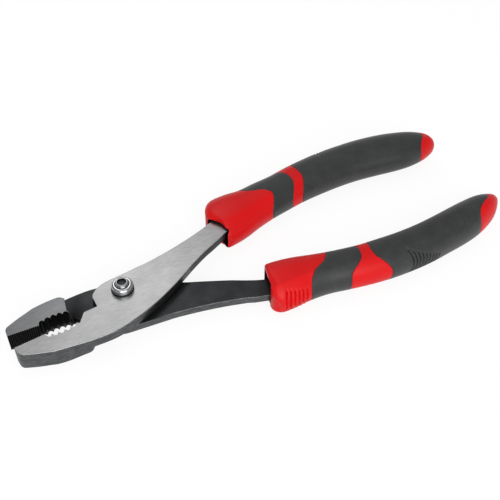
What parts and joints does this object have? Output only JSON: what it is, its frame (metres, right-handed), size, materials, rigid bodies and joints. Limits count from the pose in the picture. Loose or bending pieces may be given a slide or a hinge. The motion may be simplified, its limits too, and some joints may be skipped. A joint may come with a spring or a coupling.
{
  "type": "slip joint pliers",
  "caption": "Slip joint pliers with fine flat teeth, a curved pipe grip, a nut-and-bolt pivot that slips to a wide setting, and two-colour moulded grips.",
  "frame": {"origin": "on the pivot's axis, midway through the thickness of the two levers, with the pivot in its narrow setting", "axes": "+X towards the handles, -X towards the jaws, +Y towards the front lever's handle, +Z out of the nut's side"},
  "size_m": [0.2116, 0.0774, 0.0159],
  "materials": {
    "lever_steel": "forged and blackened, outer faces ground bright",
    "bolt_steel": "turned and plated",
    "plated_nut": "bright plated",
    "blackened_washer": "blackened steel",
    "red_grip": "moulded, satin",
    "black_grip": "moulded thermoplastic rubber, satin"
  },
  "bodies": {
    "rear": {"rear_lever": "lever_steel", "lower_grip_core": "red_grip", "lower_grip_front_overmould": "black_grip", "lower_grip_main_overmould": "black_grip"},
    "slip_washer": {"nut_washer": "blackened_washer"},
    "front": {"front_lever": "lever_steel", "pivot_bolt": "bolt_steel", "pivot_nut": "plated_nut", "upper_grip_core": "red_grip", "upper_grip_front_overmould": "black_grip", "upper_grip_main_overmould": "black_grip"}
  },
  "joints": [
    {"name": "slip", "type": "slide", "parent": "rear", "child": "slip_washer", "axis": [0, -1, 0], "range_m": [0, 0.007]},
    {"name": "pivot", "type": "hinge", "parent": "slip_washer", "child": "front", "pos_m": [0, 0, 0], "axis": [0, 0, 1], "range_deg": [-7.5, 30]}
  ]
}
